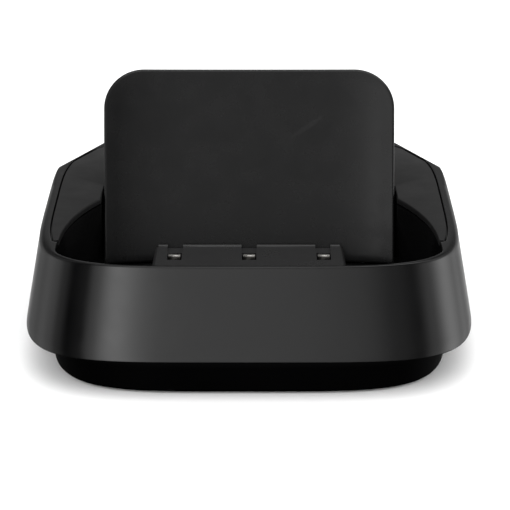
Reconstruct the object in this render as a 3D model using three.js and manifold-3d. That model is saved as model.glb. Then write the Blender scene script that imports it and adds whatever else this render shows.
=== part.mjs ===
// Desktop charging base for a cordless handset: a square, softly rounded body with a low front wall,
// a leaning back rest and a raised contact block with three sprung contacts.
// Millimetres, +Z up, +Y to the back. Origin: middle of the footprint, on the surface it stands on.

import * as THREE from 'three';
import { mergeVertices } from 'three/addons/utils/BufferGeometryUtils.js';
import Module from 'manifold-3d';

const wasm = await Module();
wasm.setup();

// ---- Driving dimensions ----

const GAP = 0.3;                    // clearance between pieces that touch
const OVERCUT = 1;                  // how far a cutting solid runs past the face it cuts
const JOIN = 0.4;                   // how far a boss runs into the wall that carries it
const ROUND_SIDES = 32;             // sides of a turned piece
const OUTLINE_POINTS = 96;          // points round the body's outline

// Body: a tapered wall between two super-ellipses, squarer at the front than at the back.
const BODY_HALF_WIDTH = 40;         // at the lower edge of the wall
const BODY_HALF_DEPTH = 38;
const BODY_FRONT_POWER = 5;
const BODY_BACK_POWER = 3.8;
const BODY_LOW = 6.7;               // lower edge of the wall
const BODY_REAR_REACH = 43.1;       // how far its flat rear corners lie from the middle
const REAR_BEARING = 0.482;         // the way they face, in radians from the side
const DECK_TOP = 23.2;              // flat top of the body
const BODY_TAPER = 0.18;            // inset for each millimetre of height
const BODY_WALL = 1.8;
const DECK_SKIN = 2.6;
const EDGE_ROUND = 0.5;             // rounding of the wall's upper edge, and half of that at its lower edge
const EDGE_BEND = [[1, 0], [0.3, 0.2], [0, 0.8]]; // the upper edge's drops and insets, in shares of it
const LEDGE_INSET = 4.2;            // where the wall's underside turns in to meet the foot
const LEDGE_THICK = 1.2;
const LEDGE_RISE = 0.4;             // height of the fillet between it and the wall

// Well: the pocket that takes the handset.
const WELL_FLOOR = 10.8;            // top of its floor
const FLOOR_SKIN = 1.6;
const WELL_HALF_WIDTH = 33.3;
const WELL_SHOULDER_Y = -23;        // where the side walls are widest apart
const WELL_RIM = 0.7;               // width of the rim in front, at deck height
const WELL_CORNER = 0.8;            // size of its front corners
const WELL_CORNER_STEPS = 4;
const WELL_SIDE_RADIUS = 42.6;      // side walls curve in towards the rest
const WELL_BACK_CLEARANCE = 1;      // behind the rest, where it passes through the deck
const WELL_SIDE_STEPS = 10;
const WELL_FRONT_STEPS = 14;
const WELL_BACK_STEPS = 6;

// Inlay: the flat panel let into the deck round the back of the well.
const INLAY_THICK = 1;
const INLAY_SEAM = 0.25;            // recess round it
const INLAY_MARGIN = 1.9;           // width of the deck's border outside it
const INLAY_REAR_REACH = 44.5;      // its own rear flats, which come nearer to the body's edge
const INLAY_LIP = 0.2;              // how far its inner edge overhangs the well
const INLAY_FRONT_Y = -23.3;
const INLAY_CORNER = 3;

// Back rest: two shells back to back, leaning away from the user.
const REST_LEAN = THREE.MathUtils.degToRad(20.5);
const REST_HALF_WIDTH = 26.8;
const REST_SEAM = 0.4;              // between its sides and the well's side walls
const REST_DECK_Y = 0.4;            // its front edge where it passes the deck
const REST_TOP = 45;
const REST_CORNER = 7.4;
const REST_HOLLOW = 1.5;            // how deep its front face is dished
const REST_FLATNESS = 0.75;         // share of the dish that is gathered at the sides
const REST_SKIN = 2.2;
const REST_BACK_MIDDLE = 6.2;       // back face behind the front edges, on the middle line
const REST_BACK_EDGE = 4.1;         // the same, at the sides
const REST_STEPS = 16;
const REST_SCREW_X = 21;
const REST_SCREW_Y = -0.7;
const REST_BOSS_WIDTH = 8;
const REST_BOSS_BACK_Y = 4.6;
const REST_BOSS_TOP = 16;
const REST_BORE_END = 14.4;
const REST_REACH = 14;              // how far its cutting solids reach before and behind it
const REST_SPARE = 2;               // and beyond its top and foot

// Contact block: a hollow plateau that rises through the well's floor.
const BLOCK_TOP = 15.4;
const BLOCK_BACK_Y = -4.9;
const BLOCK_FRONT_Y = -23.4;
const BLOCK_HALF_BACK = 17.2;
const BLOCK_HALF_FRONT = 17.7;
const BLOCK_SKIN = 1.2;
const BLOCK_WALL = 1.4;
const BLOCK_EDGE = 0.8;             // chamfer round its top
const BLOCK_EDGE_SLOPE = 0.7;       // how far it runs in for each millimetre of height
const BLOCK_FLANGE = 1.0;           // lip under the floor that holds it in
const BLOCK_FLANGE_THICK = 0.8;
const SLOT_WIDTH = 2.8;
const SLOT_FRONT_Y = -12.25;
const SLOT_BACK_Y = -7.5;
const GROOVE_DEPTH = 0.6;           // from each slot to the block's back edge

// Contacts: strips of spring metal, each an arm with a hump on a soldered foot.
const CONTACT_PITCH = 13.5;
const STRIP_WIDTH = 2.2;
const STRIP_THICK = 0.3;
const ARM_ROOT_Y = -20.8;
const ARM_Z = 12.8;
const HUMP_Y = -10.7;
const HUMP_TOP = 15.8;
const HUMP_FOOT = 3.4;              // where the arm turns up, before the crest
const HUMP_BEND = 1.5;              // control point of that turn
const HUMP_RISE = 1.1;              // middle of the front slope
const HUMP_BROW = 0.7;              // control point between the slope and the crest
const HUMP_FALL = 1.7;              // start of the straight back slope, behind the crest
const HUMP_TAIL = 2.6;              // end of the strip
const HUMP_SLOPE_HEIGHT = 1.5;
const SOLDER_REACH = 2.6;           // length of the part that lies on the board
const SOLDER_BEND = 0.8;
const CURVE_STEPS = 5;

// Circuit board, hung under the well's floor.
const BOARD_LOW = 6.2;
const BOARD_THICK = 1.6;
const BOARD_FRONT_Y = -25.5;
const BOARD_STEP_Y = -6.5;
const BOARD_BACK_Y = 33.2;
const BOARD_HALF_FRONT = 23.5;
const BOARD_HALF_BACK = 13;
const BOARD_CORNER = 4;             // cut off each of its rear corners
const BOARD_SCREW_X = 21.2;
const BOARD_SCREW_Y = -14;

// What is soldered to the board: middle in plan, and size.
const CAPACITOR = { x: -8.6, y: 13.5, radius: 3.1, height: 8.4 };
const SOLDERED_BLOCKS = {
  charge_chip: { x: 3.9, y: 13.45, width: 5, depth: 4.9, height: 1.6 },
  power_diode: { x: 9.7, y: 12.65, width: 2.6, depth: 4.5, height: 2.2 },
  charge_resistor_left: { x: -5.4, y: -16.8, width: 3.2, depth: 1.6, height: 0.6 },
  charge_resistor_right: { x: 8.3, y: -16.8, width: 3.2, depth: 1.6, height: 0.6 },
};

// Power socket at the back.
const JACK_WIDTH = 9;
const JACK_LENGTH = 13.6;
const JACK_HEIGHT = 11;
const JACK_FACE_Y = 33.6;
const JACK_AXIS_UP = 6.5;           // above the board
const JACK_BORE = 3.15;
const JACK_BORE_DEPTH = 10;
const JACK_PIN = 1;
const JACK_PIN_LENGTH = 8.5;
const INLET_RADIUS = 4.6;           // hole in the body's back wall

// Foot: the tray that closes the underside.
const FOOT_LOW = 0.3;
const FOOT_FLOOR = 1.8;
const FOOT_WALL = 1.6;
const FOOT_SIDE_INSET = 4.6;        // both insets are from the body's lower edge
const FOOT_END_INSET = 1.8;         // at the front and the back
const FOOT_FLARE = 0.6;             // how much wider each way it is at its top
const FOOT_ROUND = 0.8;
const FOOT_POWER = 4.5;             // of its super-ellipse, in front
const FOOT_BOSS_RADIUS = 4;
const FOOT_BOSS_TOP = 4.4;
const FOOT_SCREW_LENGTH = 6.4;
const FOOT_SCREW_X = 26.8;
const FOOT_SCREW_Y = 20.5;
const FOOT_PAD_X = 19;
const FOOT_PAD_Y = 27;
const FOOT_PAD_RADIUS = 4;
const FOOT_PAD_SINK = 0.7;

// Ballast: a steel plate that keeps the base from tipping.
const BALLAST_HALF_WIDTH = 16.5;
const BALLAST_FRONT_Y = -22;
const BALLAST_BACK_Y = 15;
const BALLAST_THICK = 2.4;

// Self-tapping screws.
const SHANK_RADIUS = 1.2;
const HEAD_RADIUS = 2.1;
const HEAD_THICK = 1.3;
const HEAD_SINK = 0.4;              // foot screws: head below the foot's underside
const BOSS_RADIUS = 3.1;
const BOARD_BOSS_RADIUS = 2.1;
const BORE_END = 9.7;               // blind end of the bosses' holes
const BOARD_SCREW_LENGTH = 3.6;
const REST_SCREW_LENGTH = 5;
const DRIVE_DEPTH = 0.7;
const DRIVE_WIDTH = 0.6;
const DRIVE_LENGTH = 2.4;

// ---- Solids and meshes ----

// A closed three.js geometry as a solid that can be joined and cut.
function solid(geometry) {
  const bare = geometry.index ? geometry.toNonIndexed() : geometry.clone();
  bare.deleteAttribute('normal');
  bare.deleteAttribute('uv');
  const merged = mergeVertices(bare, 1e-4);
  const mesh = new wasm.Mesh({
    numProp: 3,
    vertProperties: new Float32Array(merged.attributes.position.array),
    triVerts: new Uint32Array(merged.index.array),
  });
  return new wasm.Manifold(mesh);
}

// The solid back as a three.js geometry.
function geometryOf(manifold) {
  const mesh = manifold.getMesh();
  const geometry = new THREE.BufferGeometry();
  geometry.setAttribute('position', new THREE.BufferAttribute(new Float32Array(mesh.vertProperties), 3));
  geometry.setIndex(new THREE.BufferAttribute(new Uint32Array(mesh.triVerts), 1));
  geometry.computeVertexNormals();
  return geometry;
}

const finishes = {
  satinBlack: { color: 0x101011, roughness: 0.35, metalness: 0 },
  matteBlack: { color: 0x161617, roughness: 0.6, metalness: 0 },
  footBlack: { color: 0x070707, roughness: 0.55, metalness: 0 },
  rubber: { color: 0x1c1c1c, roughness: 0.9, metalness: 0 },
  springMetal: { color: 0xd9d4c4, roughness: 0.25, metalness: 1 },
  steel: { color: 0x9a9da0, roughness: 0.4, metalness: 1 },
  board: { color: 0x1f5a36, roughness: 0.5, metalness: 0 },
  component: { color: 0x1b1b1d, roughness: 0.45, metalness: 0 },
  socket: { color: 0x0d0d0e, roughness: 0.5, metalness: 0 },
};

const base = new THREE.Group();

function addPiece(name, manifold, finish) {
  const mesh = new THREE.Mesh(geometryOf(manifold), new THREE.MeshStandardMaterial(finishes[finish]));
  mesh.name = name;
  base.add(mesh);
}

// An upright solid of a plan shape, from one height to another.
function slab(shape, low, high) {
  const geometry = new THREE.ExtrudeGeometry(shape, { depth: high - low, bevelEnabled: false });
  return solid(geometry.translate(0, 0, low));
}

// A block given by its lowest and highest corners.
function block(low, high) {
  const size = high.map((value, axis) => value - low[axis]);
  const middle = high.map((value, axis) => (value + low[axis]) / 2);
  return solid(new THREE.BoxGeometry(...size).translate(...middle));
}

// An upright round rod.
function rod(x, y, radius, low, high) {
  const geometry = new THREE.CylinderGeometry(radius, radius, high - low, ROUND_SIDES);
  return solid(geometry.rotateX(Math.PI / 2).translate(x, y, (low + high) / 2));
}

// A round rod along Y.
function rodAlongY(x, z, radius, front, back) {
  const geometry = new THREE.CylinderGeometry(radius, radius, back - front, ROUND_SIDES);
  return solid(geometry.translate(x, (front + back) / 2, z));
}

// ---- The body's outline ----

// Super-ellipse whose front and back halves have their own powers, with its rear corners cut flat.
function bodyOutline(frontPower = BODY_FRONT_POWER, rearReach = BODY_REAR_REACH) {
  const points = [];
  for (let i = 0; i < OUTLINE_POINTS; i += 1) {
    const angle = (i / OUTLINE_POINTS) * Math.PI * 2;
    const power = Math.sin(angle) < 0 ? frontPower : BODY_BACK_POWER;
    const across = Math.sign(Math.cos(angle)) * Math.abs(Math.cos(angle)) ** (2 / power);
    const along = Math.sign(Math.sin(angle)) * Math.abs(Math.sin(angle)) ** (2 / power);
    const point = new THREE.Vector2(across * BODY_HALF_WIDTH, along * BODY_HALF_DEPTH);
    const reach = Math.abs(point.x) * Math.cos(REAR_BEARING) + point.y * Math.sin(REAR_BEARING);
    points.push(point.multiplyScalar(Math.min(1, rearReach / Math.max(reach, 1))));
  }
  return new THREE.Shape(points);
}

// The outline carried up through levels, each a height and an inset, or two insets: sides and ends.
function bodyStack(levels, frontPower, rearReach) {
  const steps = levels.length - 1;
  const settings = { depth: steps, steps, bevelEnabled: false };
  const geometry = new THREE.ExtrudeGeometry(bodyOutline(frontPower, rearReach), settings);
  const position = geometry.attributes.position;
  for (let i = 0; i < position.count; i += 1) {
    const level = levels[Math.round(position.getZ(i))];
    const x = position.getX(i) * (1 - level.inset / BODY_HALF_WIDTH);
    const y = position.getY(i) * (1 - (level.endInset ?? level.inset) / BODY_HALF_DEPTH);
    position.setXYZ(i, x, y, level.z);
  }
  return solid(geometry);
}

function wallInset(z) {
  return BODY_TAPER * (z - BODY_LOW);
}

// ---- The well's outline ----

// Depth of the rest's dished front face behind its front edges: nearly flat, with raised sides.
function restFront(x) {
  const across = Math.abs(x / REST_HALF_WIDTH);
  return REST_HOLLOW * (1 - (1 - REST_FLATNESS) * across ** 2 - REST_FLATNESS * across ** 6);
}

// The same for its bowed back face.
function restBack(x) {
  return REST_BACK_EDGE + (REST_BACK_MIDDLE - REST_BACK_EDGE) * (1 - (x / REST_HALF_WIDTH) ** 2);
}

// The well's back edge follows the back of the rest at deck height.
function wellBack(x) {
  return REST_DECK_Y + restBack(x) / Math.cos(REST_LEAN) + WELL_BACK_CLEARANCE;
}

// Half of the well on the right, from the middle of its front to its back corner.
// Its front edge, a thin rim behind the body's own outline at deck height.
function wellFront(x, lip) {
  const inset = wallInset(DECK_TOP) + WELL_RIM + lip;
  const across = x / (BODY_HALF_WIDTH - inset);
  return -(BODY_HALF_DEPTH - inset) * (1 - across ** BODY_FRONT_POWER) ** (1 / BODY_FRONT_POWER);
}

function wellHalf(lip) {
  const halfWidth = WELL_HALF_WIDTH - lip;
  const points = [];
  for (let i = 0; i < WELL_FRONT_STEPS; i += 1) {
    const x = (halfWidth - WELL_CORNER) * Math.sin(((i / WELL_FRONT_STEPS) * Math.PI) / 2);
    points.push(new THREE.Vector2(x, wellFront(x, lip)));
  }
  const turn = new THREE.Vector2(halfWidth, wellFront(halfWidth, lip));
  const start = new THREE.Vector2(halfWidth - WELL_CORNER, wellFront(halfWidth - WELL_CORNER, lip));
  const end = new THREE.Vector2(halfWidth, turn.y + WELL_CORNER);
  points.push(...new THREE.QuadraticBezierCurve(start, turn, end).getPoints(WELL_CORNER_STEPS));
  const radius = WELL_SIDE_RADIUS - lip;
  const middle = halfWidth - radius;
  const sideEnd = REST_HALF_WIDTH + REST_SEAM;
  const sweep = Math.acos((sideEnd - middle) / radius);
  for (let i = 0; i <= WELL_SIDE_STEPS; i += 1) {
    const angle = (i / WELL_SIDE_STEPS) * sweep;
    const x = middle + radius * Math.cos(angle);
    points.push(new THREE.Vector2(x, WELL_SHOULDER_Y + radius * Math.sin(angle)));
  }
  for (let i = 0; i < WELL_BACK_STEPS; i += 1) {
    const x = sideEnd * (1 - i / WELL_BACK_STEPS);
    points.push(new THREE.Vector2(x, wellBack(x) - lip));
  }
  return points;
}

function wellShape(lip = 0) {
  const right = wellHalf(lip);
  const left = right.slice(1).reverse().map((point) => new THREE.Vector2(-point.x, point.y));
  return new THREE.Shape([...right, new THREE.Vector2(0, wellBack(0) - lip), ...left]);
}

// The well made larger all round by a wall's thickness.
function wellShapeWithWall(wall) {
  const shape = wellShape();
  const middleY = (wellFront(0, 0) + wellBack(0)) / 2;
  const halfDepth = (wellBack(0) - wellFront(0, 0)) / 2;
  const points = shape.getPoints().map((point) => new THREE.Vector2(
    point.x * (1 + wall / WELL_HALF_WIDTH),
    middleY + (point.y - middleY) * (1 + wall / halfDepth),
  ));
  return new THREE.Shape(points);
}

// ---- Back rest ----

// Moves a geometry from the rest's own frame, +Z up the rest and +Y behind it, to its place.
function placeRest(geometry) {
  const low = REST_DECK_Y - Math.tan(REST_LEAN) * (DECK_TOP - WELL_FLOOR);
  return geometry.rotateX(-REST_LEAN).translate(0, low, WELL_FLOOR);
}

// A curved sheet between two faces, cut to the rest's outline.
function restSheet(front, back, grow = 0) {
  const half = REST_HALF_WIDTH + grow;
  const points = [];
  for (let i = 0; i <= REST_STEPS; i += 1) {
    const x = -half + (2 * half * i) / REST_STEPS;
    points.push(new THREE.Vector2(x, front(x)));
  }
  for (let i = REST_STEPS; i >= 0; i -= 1) {
    const x = -half + (2 * half * i) / REST_STEPS;
    points.push(new THREE.Vector2(x, back(x)));
  }
  const height = (REST_TOP - WELL_FLOOR) / Math.cos(REST_LEAN);
  const settings = { depth: height + 2 * REST_SPARE, bevelEnabled: false };
  const sheet = new THREE.ExtrudeGeometry(new THREE.Shape(points), settings);
  sheet.translate(0, 0, -REST_SPARE);

  const corner = REST_CORNER + grow;
  const top = height + grow;
  const face = new THREE.Shape();
  face.moveTo(-half, -OVERCUT);
  face.lineTo(half, -OVERCUT);
  face.lineTo(half, top - corner);
  face.absarc(half - corner, top - corner, corner, 0, Math.PI / 2);
  face.absarc(-half + corner, top - corner, corner, Math.PI / 2, Math.PI);
  const reach = { depth: 2 * REST_REACH, bevelEnabled: false, curveSegments: 8 };
  const cutter = new THREE.ExtrudeGeometry(face, reach);
  cutter.rotateX(Math.PI / 2).translate(0, REST_REACH, 0);
  return solid(placeRest(sheet)).intersect(solid(placeRest(cutter)));
}

function aboveFloor(piece) {
  const low = [-BODY_HALF_WIDTH, -BODY_HALF_DEPTH, WELL_FLOOR + GAP];
  return piece.intersect(block(low, [BODY_HALF_WIDTH, BODY_HALF_DEPTH, REST_TOP + OVERCUT]));
}

function restFrontShell() {
  const skin = aboveFloor(restSheet(restFront, (x) => restFront(x) + REST_SKIN));
  const fill = aboveFloor(restSheet((x) => restFront(x) + REST_SKIN / 2, () => REST_REACH));
  let shell = skin;
  for (const side of [-1, 1]) {
    const x = side * REST_SCREW_X;
    const half = REST_BOSS_WIDTH / 2;
    const low = WELL_FLOOR + GAP;
    const boss = block([x - half, -REST_REACH, low], [x + half, REST_BOSS_BACK_Y, REST_BOSS_TOP]);
    const bore = rod(x, REST_SCREW_Y, SHANK_RADIUS + GAP, low - OVERCUT, REST_BORE_END);
    shell = shell.add(boss.intersect(fill)).subtract(bore);
  }
  return shell;
}

function restRearShell() {
  let cover = restSheet((x) => restFront(x) + REST_SKIN + GAP, restBack);
  cover = aboveFloor(cover);
  for (const side of [-1, 1]) {
    const x = side * REST_SCREW_X;
    const half = REST_BOSS_WIDTH / 2 + GAP;
    cover = cover.subtract(block([x - half, -REST_REACH, 0], [x + half, REST_REACH, REST_BOSS_TOP + GAP]));
  }
  return cover;
}

// ---- Screws ----

// A cross-head screw driven upwards, with its head at the bottom.
function screw(x, y, headLow, length) {
  const headTop = headLow + HEAD_THICK;
  const head = rod(x, y, HEAD_RADIUS, headLow, headTop);
  const shank = rod(x, y, SHANK_RADIUS, headTop - JOIN / 2, headTop + length);
  const drive = [[DRIVE_LENGTH, DRIVE_WIDTH], [DRIVE_WIDTH, DRIVE_LENGTH]].map(([wide, deep]) => block(
    [x - wide / 2, y - deep / 2, headLow - OVERCUT],
    [x + wide / 2, y + deep / 2, headLow + DRIVE_DEPTH],
  ));
  return head.add(shank).subtract(drive[0]).subtract(drive[1]);
}

const cornerSigns = [
  ['front_left', -1, -1],
  ['front_right', 1, -1],
  ['rear_left', -1, 1],
  ['rear_right', 1, 1],
];

// ---- Body shell ----

const FOOT_PAD_TOP = FOOT_LOW + FOOT_PAD_SINK;
const FOOT_INNER_FLOOR = FOOT_LOW + FOOT_FLOOR;
const FOOT_HEAD_LOW = FOOT_LOW + HEAD_SINK;
const BOARD_TOP = BOARD_LOW + BOARD_THICK;
const JACK_AXIS_Z = BOARD_TOP + GAP + JACK_AXIS_UP;
const FLOOR_LOW = WELL_FLOOR - FLOOR_SKIN;

function blockPlan(grow) {
  return new THREE.Shape([
    new THREE.Vector2(-BLOCK_HALF_FRONT - grow, BLOCK_FRONT_Y - grow),
    new THREE.Vector2(BLOCK_HALF_FRONT + grow, BLOCK_FRONT_Y - grow),
    new THREE.Vector2(BLOCK_HALF_BACK + grow, BLOCK_BACK_Y + grow),
    new THREE.Vector2(-BLOCK_HALF_BACK - grow, BLOCK_BACK_Y + grow),
  ]);
}

function bodyShell() {
  const topInset = wallInset(DECK_TOP);
  const outer = bodyStack([
    { z: BODY_LOW, inset: EDGE_ROUND / 2 },
    { z: BODY_LOW + EDGE_ROUND / 2, inset: wallInset(BODY_LOW + EDGE_ROUND / 2) },
    ...EDGE_BEND.map(([drop, inward]) => ({
      z: DECK_TOP - drop * EDGE_ROUND,
      inset: topInset + inward * EDGE_ROUND,
    })),
  ]);
  const innerTop = DECK_TOP - DECK_SKIN;
  const ledgeTop = BODY_LOW + LEDGE_THICK;
  const inner = bodyStack([
    { z: BODY_LOW - OVERCUT, inset: LEDGE_INSET },
    { z: ledgeTop, inset: LEDGE_INSET },
    { z: ledgeTop + LEDGE_RISE, inset: wallInset(ledgeTop) + BODY_WALL },
    { z: innerTop, inset: wallInset(innerTop) + BODY_WALL },
  ]);
  const wellWall = slab(wellShapeWithWall(FLOOR_SKIN), FLOOR_LOW, DECK_TOP);
  let shell = outer.subtract(inner.subtract(wellWall));
  shell = shell.subtract(slab(wellShape(), WELL_FLOOR, DECK_TOP + OVERCUT));

  // The floor is open for the contact block.
  shell = shell.subtract(slab(blockPlan(GAP), FLOOR_LOW - OVERCUT, WELL_FLOOR + OVERCUT));

  // Recess for the inlay, and the hole for the power plug.
  shell = shell.subtract(inlaySolid(INLAY_SEAM, DECK_TOP - INLAY_THICK - GAP, DECK_TOP + OVERCUT));
  const inletFront = JACK_FACE_Y - 2 * OVERCUT;
  shell = shell.subtract(rodAlongY(0, JACK_AXIS_Z, INLET_RADIUS, inletFront, BODY_HALF_DEPTH + OVERCUT));

  // Screw bosses: four for the foot, two for the board.
  for (const [, sideX, sideY] of cornerSigns) {
    const x = sideX * FOOT_SCREW_X;
    const y = sideY * FOOT_SCREW_Y;
    const top = (sideY < 0 ? FLOOR_LOW : innerTop) + JOIN;
    shell = shell.add(rod(x, y, BOSS_RADIUS, FOOT_BOSS_TOP + GAP, top));
    shell = shell.subtract(rod(x, y, SHANK_RADIUS + GAP, 0, BORE_END));
  }
  for (const side of [-1, 1]) {
    const x = side * BOARD_SCREW_X;
    shell = shell.add(rod(x, BOARD_SCREW_Y, BOARD_BOSS_RADIUS, BOARD_TOP + GAP, FLOOR_LOW + JOIN));
    shell = shell.subtract(rod(x, BOARD_SCREW_Y, SHANK_RADIUS + GAP, 0, BORE_END));
    const hole = rod(side * REST_SCREW_X, REST_SCREW_Y, SHANK_RADIUS + GAP, 0, WELL_FLOOR + OVERCUT);
    shell = shell.subtract(hole);
  }
  return shell;
}

// ---- Deck inlay ----

// The inlay's plan grown by a margin, without the well.
function inlaySolid(grow, low, high) {
  const inset = wallInset(DECK_TOP) + INLAY_MARGIN - grow;
  const levels = [{ z: low, inset }, { z: high, inset }];
  const plate = bodyStack(levels, BODY_FRONT_POWER, INLAY_REAR_REACH + grow);
  const half = BODY_HALF_WIDTH - inset;
  const front = INLAY_FRONT_Y - grow;
  const corner = INLAY_CORNER + grow;
  const span = new THREE.Shape();
  span.moveTo(half, BODY_HALF_DEPTH);
  span.lineTo(-half, BODY_HALF_DEPTH);
  span.absarc(-half + corner, front + corner, corner, Math.PI, Math.PI * 1.5);
  span.absarc(half - corner, front + corner, corner, Math.PI * 1.5, Math.PI * 2);
  return plate.intersect(slab(span, low - OVERCUT, high + OVERCUT));
}

function inlay() {
  const low = DECK_TOP - INLAY_THICK;
  const panel = inlaySolid(0, low, DECK_TOP);
  return panel.subtract(slab(wellShape(INLAY_LIP), low - OVERCUT, DECK_TOP + OVERCUT));
}

addPiece('base_shell', bodyShell(), 'satinBlack');
addPiece('deck_inlay', inlay(), 'matteBlack');
addPiece('rest_front_shell', restFrontShell(), 'matteBlack');
addPiece('rest_rear_shell', restRearShell(), 'matteBlack');

// ---- Contact block ----

const BLOCK_LOW = BOARD_TOP + GAP;

function contactBlock() {
  const chamferLow = BLOCK_TOP - BLOCK_EDGE;
  let body = slab(blockPlan(0), BLOCK_LOW, chamferLow);
  const cap = new THREE.ExtrudeGeometry(blockPlan(0), { depth: BLOCK_EDGE, bevelEnabled: false });
  const position = cap.attributes.position;
  const middleY = (BLOCK_FRONT_Y + BLOCK_BACK_Y) / 2;
  const halfDepth = (BLOCK_BACK_Y - BLOCK_FRONT_Y) / 2;
  for (let i = 0; i < position.count; i += 1) {
    const shrink = position.getZ(i) > BLOCK_EDGE / 2 ? BLOCK_EDGE_SLOPE * BLOCK_EDGE : 0;
    const x = position.getX(i) * (1 - shrink / BLOCK_HALF_FRONT);
    const y = middleY + (position.getY(i) - middleY) * (1 - shrink / halfDepth);
    position.setXY(i, x, y);
  }
  body = body.add(solid(cap.translate(0, 0, chamferLow)));
  body = body.add(slab(blockPlan(BLOCK_FLANGE), BLOCK_LOW, BLOCK_LOW + BLOCK_FLANGE_THICK));
  body = body.subtract(slab(blockPlan(-BLOCK_WALL), BLOCK_LOW - OVERCUT, BLOCK_TOP - BLOCK_SKIN));
  for (const step of [-1, 0, 1]) {
    const left = step * CONTACT_PITCH - SLOT_WIDTH / 2;
    const right = left + SLOT_WIDTH;
    const above = BLOCK_TOP + OVERCUT;
    const slotLow = BLOCK_TOP - BLOCK_SKIN - OVERCUT;
    const slot = block([left, SLOT_FRONT_Y, slotLow], [right, SLOT_BACK_Y, above]);
    const grooveLow = BLOCK_TOP - GROOVE_DEPTH;
    const groove = block([left, SLOT_FRONT_Y, grooveLow], [right, BLOCK_BACK_Y + OVERCUT, above]);
    body = body.subtract(slot).subtract(groove);
  }
  return body;
}

addPiece('contact_block', contactBlock(), 'matteBlack');

// ---- Contacts ----

// A bent strip: a path in the side view, given thickness and width.
function strip(path, x) {
  const points = path.getPoints(CURVE_STEPS);
  const side = (sign) => points.map((point, i) => {
    const before = points[Math.max(i - 1, 0)];
    const after = points[Math.min(i + 1, points.length - 1)];
    const along = after.clone().sub(before).normalize();
    return new THREE.Vector2(
      point.x - (sign * along.y * STRIP_THICK) / 2,
      point.y + (sign * along.x * STRIP_THICK) / 2,
    );
  });
  const shape = new THREE.Shape([...side(-1), ...side(1).reverse()]);
  const geometry = new THREE.ExtrudeGeometry(shape, { depth: STRIP_WIDTH, bevelEnabled: false });
  const sideways = new THREE.Matrix4().set(0, 0, 1, x - STRIP_WIDTH / 2, 1, 0, 0, 0, 0, 1, 0, 0, 0, 0, 0, 1);
  return solid(geometry.applyMatrix4(sideways));
}

function armPath() {
  const crown = HUMP_TOP - STRIP_THICK / 2;
  const path = new THREE.Path();
  path.moveTo(ARM_ROOT_Y, ARM_Z);
  path.lineTo(HUMP_Y - HUMP_FOOT, ARM_Z);
  path.quadraticCurveTo(HUMP_Y - HUMP_BEND, ARM_Z, HUMP_Y - HUMP_RISE, ARM_Z + HUMP_SLOPE_HEIGHT);
  path.quadraticCurveTo(HUMP_Y - HUMP_BROW, crown, HUMP_Y, crown);
  path.quadraticCurveTo(HUMP_Y + HUMP_RISE, crown, HUMP_Y + HUMP_FALL, crown - HUMP_SLOPE_HEIGHT);
  path.lineTo(HUMP_Y + HUMP_TAIL, ARM_Z);
  return path;
}

function footPath() {
  const low = BOARD_TOP + GAP + STRIP_THICK / 2;
  const path = new THREE.Path();
  path.moveTo(ARM_ROOT_Y + SOLDER_REACH, low);
  path.lineTo(ARM_ROOT_Y + SOLDER_BEND, low);
  path.quadraticCurveTo(ARM_ROOT_Y, low, ARM_ROOT_Y, low + SOLDER_BEND);
  path.lineTo(ARM_ROOT_Y, ARM_Z - STRIP_THICK / 2 - GAP);
  return path;
}

for (const [side, step] of [['left', -1], ['middle', 0], ['right', 1]]) {
  addPiece(`contact_arm_${side}`, strip(armPath(), step * CONTACT_PITCH), 'springMetal');
  addPiece(`contact_foot_${side}`, strip(footPath(), step * CONTACT_PITCH), 'springMetal');
}

// ---- Circuit board and what is soldered to it ----

function circuitBoard() {
  const plan = new THREE.Shape([
    new THREE.Vector2(-BOARD_HALF_FRONT, BOARD_FRONT_Y),
    new THREE.Vector2(BOARD_HALF_FRONT, BOARD_FRONT_Y),
    new THREE.Vector2(BOARD_HALF_FRONT, BOARD_STEP_Y),
    new THREE.Vector2(BOARD_HALF_BACK, BOARD_STEP_Y),
    new THREE.Vector2(BOARD_HALF_BACK, BOARD_BACK_Y - BOARD_CORNER),
    new THREE.Vector2(BOARD_HALF_BACK - BOARD_CORNER, BOARD_BACK_Y),
    new THREE.Vector2(-BOARD_HALF_BACK + BOARD_CORNER, BOARD_BACK_Y),
    new THREE.Vector2(-BOARD_HALF_BACK, BOARD_BACK_Y - BOARD_CORNER),
    new THREE.Vector2(-BOARD_HALF_BACK, BOARD_STEP_Y),
    new THREE.Vector2(-BOARD_HALF_FRONT, BOARD_STEP_Y),
  ]);
  let board = slab(plan, BOARD_LOW, BOARD_TOP);
  for (const side of [-1, 1]) {
    const x = side * BOARD_SCREW_X;
    board = board.subtract(rod(x, BOARD_SCREW_Y, SHANK_RADIUS + GAP, 0, BOARD_TOP + OVERCUT));
  }
  return board;
}

function powerSocket() {
  const low = BOARD_TOP + GAP;
  const half = JACK_WIDTH / 2;
  const housing = block([-half, JACK_FACE_Y - JACK_LENGTH, low], [half, JACK_FACE_Y, low + JACK_HEIGHT]);
  const bore = rodAlongY(0, JACK_AXIS_Z, JACK_BORE, JACK_FACE_Y - JACK_BORE_DEPTH, JACK_FACE_Y + OVERCUT);
  return housing.subtract(bore);
}

function socketPin() {
  const start = JACK_FACE_Y - JACK_BORE_DEPTH + GAP;
  return rodAlongY(0, JACK_AXIS_Z, JACK_PIN, start, start + JACK_PIN_LENGTH);
}

addPiece('circuit_board', circuitBoard(), 'board');
addPiece('power_socket', powerSocket(), 'socket');
addPiece('power_socket_pin', socketPin(), 'springMetal');

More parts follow.
